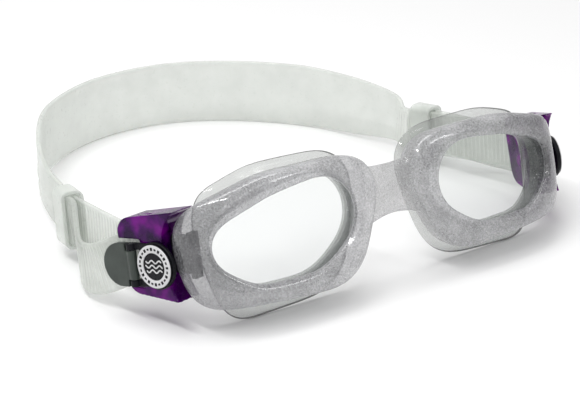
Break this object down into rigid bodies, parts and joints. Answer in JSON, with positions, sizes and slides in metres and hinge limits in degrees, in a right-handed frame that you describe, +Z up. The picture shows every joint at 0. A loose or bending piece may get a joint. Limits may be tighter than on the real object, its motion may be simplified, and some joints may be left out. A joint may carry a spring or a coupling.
{
  "type": "swim goggles",
  "caption": "Swim goggles with curved clear lenses in a soft frame, face seals, ratchet buckles with thumb levers, strap rollers and a one-piece head strap with keepers.",
  "frame": {"origin": "middle of the flat surface that the goggles stand on, under the middle of their box", "axes": "+Z up, lenses look along -Y, X runs from the wearer's right (-X) to the left (+X)"},
  "size_m": [0.1501, 0.1452, 0.0395],
  "materials": {
    "frame_soft": "clear soft elastomer with silver glitter",
    "lens_clear": "clear, polished",
    "seal_soft": "clear soft elastomer",
    "anchor_black": "moulded, matt",
    "buckle_purple": "translucent, glossy",
    "carrier_black": "glossy black",
    "lever_grey": "satin dark grey green",
    "badge_silver": "silver ring on black",
    "steel": "brushed",
    "strap_clear": "milky clear, ribbed sides"
  },
  "bodies": {
    "goggles": {"front_frame": "frame_soft", "lens_right": "lens_clear", "lens_left": "lens_clear", "face_seal_right": "seal_soft", "face_seal_left": "seal_soft", "temple_anchor_right": "anchor_black", "temple_anchor_left": "anchor_black", "buckle_body_right": "buckle_purple", "buckle_body_left": "buckle_purple", "lever_carrier_right": "carrier_black", "lever_carrier_left": "carrier_black", "buckle_badge_right": "badge_silver", "buckle_badge_left": "badge_silver", "lever_pin_right": "steel", "lever_pin_left": "steel", "lever_spring_right": "steel", "lever_spring_left": "steel", "roller_pin_right": "steel", "roller_pin_left": "steel", "head_strap": "strap_clear"},
    "buckle_lever_right": {"buckle_lever_right": "lever_grey"},
    "strap_roller_right": {"strap_roller_right": "steel"},
    "strap_keeper_right": {"strap_keeper_right": "strap_clear"},
    "buckle_lever_left": {"buckle_lever_left": "lever_grey"},
    "strap_roller_left": {"strap_roller_left": "steel"},
    "strap_keeper_left": {"strap_keeper_left": "strap_clear"}
  },
  "joints": [
    {"name": "lever_lift_right", "type": "hinge", "parent": "goggles", "child": "buckle_lever_right", "pos_m": [-0.06981, -0.04668, 0.01595], "axis": [0.0179, 0.2449, 0.9694], "range_deg": [0, 32], "stiffness_Nm_per_rad": 0.01},
    {"name": "roller_turn_right", "type": "hinge", "parent": "goggles", "child": "strap_roller_right", "pos_m": [-0.06347, -0.04771, 0.01816], "axis": [0.0179, 0.2449, 0.9694], "continuous": true},
    {"name": "keeper_slide_right", "type": "slide", "parent": "goggles", "child": "strap_keeper_right", "axis": [0.1035, 0.9848, -0.1392], "range_m": [-0.003, 0.003]},
    {"name": "lever_lift_left", "type": "hinge", "parent": "goggles", "child": "buckle_lever_left", "pos_m": [0.06981, -0.04668, 0.01595], "axis": [0.0179, -0.2449, -0.9694], "range_deg": [0, 32], "stiffness_Nm_per_rad": 0.01},
    {"name": "roller_turn_left", "type": "hinge", "parent": "goggles", "child": "strap_roller_left", "pos_m": [0.06347, -0.04771, 0.01816], "axis": [-0.0179, 0.2449, 0.9694], "continuous": true},
    {"name": "keeper_slide_left", "type": "slide", "parent": "goggles", "child": "strap_keeper_left", "axis": [-0.172, 0.9752, -0.1392], "range_m": [-0.003, 0.003]}
  ]
}
